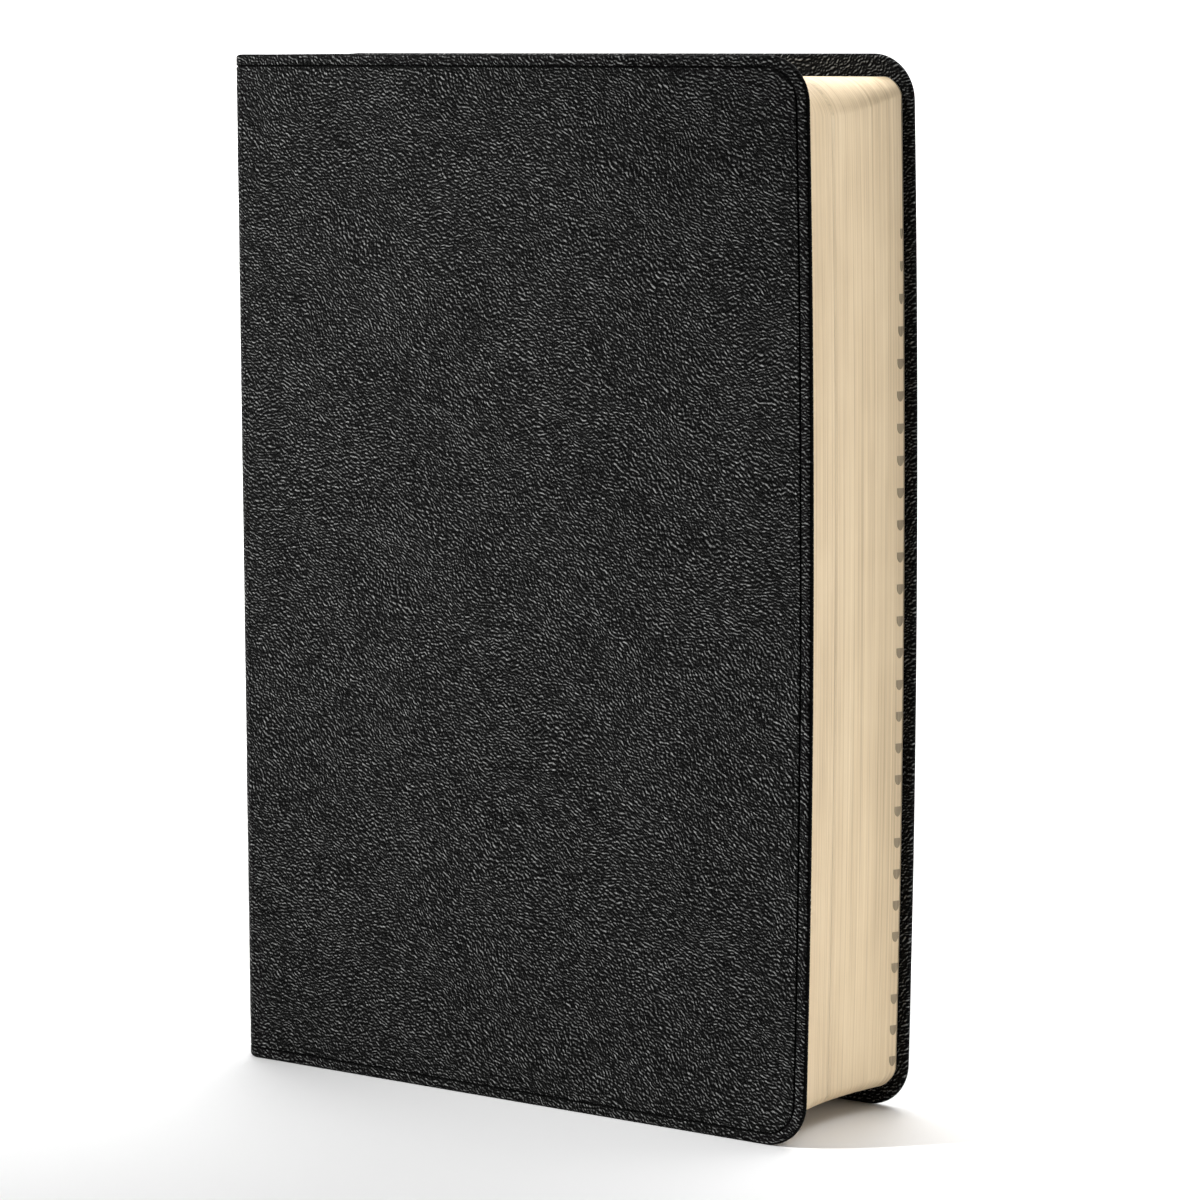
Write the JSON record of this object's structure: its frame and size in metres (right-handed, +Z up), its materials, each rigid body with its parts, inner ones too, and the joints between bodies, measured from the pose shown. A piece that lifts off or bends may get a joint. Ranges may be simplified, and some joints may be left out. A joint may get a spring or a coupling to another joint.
{
  "type": "bible",
  "caption": "Thick bible in a limp grained leather cover, standing closed, with gilt page edges, a rounded spine, sewn sections and covers that open flat.",
  "frame": {"origin": "middle of the footprint of the closed book standing on its tail", "axes": "+Z up from tail to head, +X from the spine to the fore-edge, +Y from the front cover to the back cover"},
  "size_m": [0.1616, 0.045, 0.235],
  "materials": {
    "cover_leather": "satin pebbled grain",
    "board": "matte",
    "spine_card": "matte",
    "kraft_paper": "matte",
    "mull": "open cotton weave",
    "sewing_thread": "waxed thread",
    "headband": "wound silk",
    "endpaper": "matte laid paper",
    "bible_paper": "thin leaves with gilt edges"
  },
  "bodies": {
    "rear_block": {"spine_leather_back": "cover_leather", "spine_liner_back": "spine_card", "kraft_lining_back": "kraft_paper", "mull_back": "mull", "sewing_thread_back": "sewing_thread", "headband_back": "headband", "tailband_back": "headband", "section_17": "bible_paper", "section_18": "bible_paper", "section_19": "bible_paper", "section_20": "bible_paper", "section_21": "bible_paper", "section_22": "bible_paper", "section_23": "bible_paper", "section_24": "bible_paper", "section_25": "bible_paper", "section_26": "bible_paper", "section_27": "bible_paper", "section_28": "bible_paper", "section_29": "bible_paper", "section_30": "bible_paper", "section_31": "bible_paper", "section_32": "bible_paper"},
    "front_block": {"spine_leather_front": "cover_leather", "spine_liner_front": "spine_card", "kraft_lining_front": "kraft_paper", "mull_front": "mull", "sewing_thread_front": "sewing_thread", "headband_front": "headband", "tailband_front": "headband", "section_01": "bible_paper", "section_02": "bible_paper", "section_03": "bible_paper", "section_04": "bible_paper", "section_05": "bible_paper", "section_06": "bible_paper", "section_07": "bible_paper", "section_08": "bible_paper", "section_09": "bible_paper", "section_10": "bible_paper", "section_11": "bible_paper", "section_12": "bible_paper", "section_13": "bible_paper", "section_14": "bible_paper", "section_15": "bible_paper", "section_16": "bible_paper"},
    "front_cover": {"front_cover_leather": "cover_leather", "front_cover_board": "board", "front_mull_flange": "mull", "front_pastedown": "endpaper"},
    "back_cover": {"back_cover_leather": "cover_leather", "back_cover_board": "board", "back_mull_flange": "mull", "back_pastedown": "endpaper"},
    "front_flyleaf": {"front_flyleaf": "endpaper"},
    "back_flyleaf": {"back_flyleaf": "endpaper"},
    "centre_leaf_1": {"centre_leaf_1": "bible_paper"},
    "centre_leaf_2": {"centre_leaf_2": "bible_paper"},
    "centre_leaf_3": {"centre_leaf_3": "bible_paper"}
  },
  "joints": [
    {"name": "middle_opening", "type": "hinge", "parent": "rear_block", "child": "front_block", "pos_m": [-0.0808, 0, 0], "axis": [0, 0, -1], "range_deg": [0, 180]},
    {"name": "front_cover_hinge", "type": "hinge", "parent": "front_block", "child": "front_cover", "pos_m": [-0.0698, -0.0241, 0], "axis": [0, 0, -1], "range_deg": [0, 90]},
    {"name": "back_cover_hinge", "type": "hinge", "parent": "rear_block", "child": "back_cover", "pos_m": [-0.0698, 0.0228, 0], "axis": [0, 0, 1], "range_deg": [0, 90]},
    {"name": "front_flyleaf_turn", "type": "hinge", "parent": "front_block", "child": "front_flyleaf", "pos_m": [-0.0698, -0.0241, 0], "axis": [0, 0, -1], "range_deg": [0, 54]},
    {"name": "back_flyleaf_turn", "type": "hinge", "parent": "rear_block", "child": "back_flyleaf", "pos_m": [-0.0698, 0.0228, 0], "axis": [0, 0, 1], "range_deg": [0, 54]},
    {"name": "centre_leaf_1_turn", "type": "hinge", "parent": "rear_block", "child": "centre_leaf_1", "pos_m": [-0.0808, 0, 0], "axis": [0, 0, -1], "range_deg": [0, 135]},
    {"name": "centre_leaf_2_turn", "type": "hinge", "parent": "rear_block", "child": "centre_leaf_2", "pos_m": [-0.0808, 0, 0], "axis": [0, 0, -1], "range_deg": [0, 90]},
    {"name": "centre_leaf_3_turn", "type": "hinge", "parent": "rear_block", "child": "centre_leaf_3", "pos_m": [-0.0808, 0, 0], "axis": [0, 0, -1], "range_deg": [0, 45]}
  ],
  "couplings": [
    {"joint": "front_flyleaf_turn", "follows": "front_cover_hinge", "ratio": 0.6},
    {"joint": "back_flyleaf_turn", "follows": "back_cover_hinge", "ratio": 0.6},
    {"joint": "centre_leaf_1_turn", "follows": "middle_opening", "ratio": 0.75},
    {"joint": "centre_leaf_2_turn", "follows": "middle_opening", "ratio": 0.5},
    {"joint": "centre_leaf_3_turn", "follows": "middle_opening", "ratio": 0.25}
  ]
}
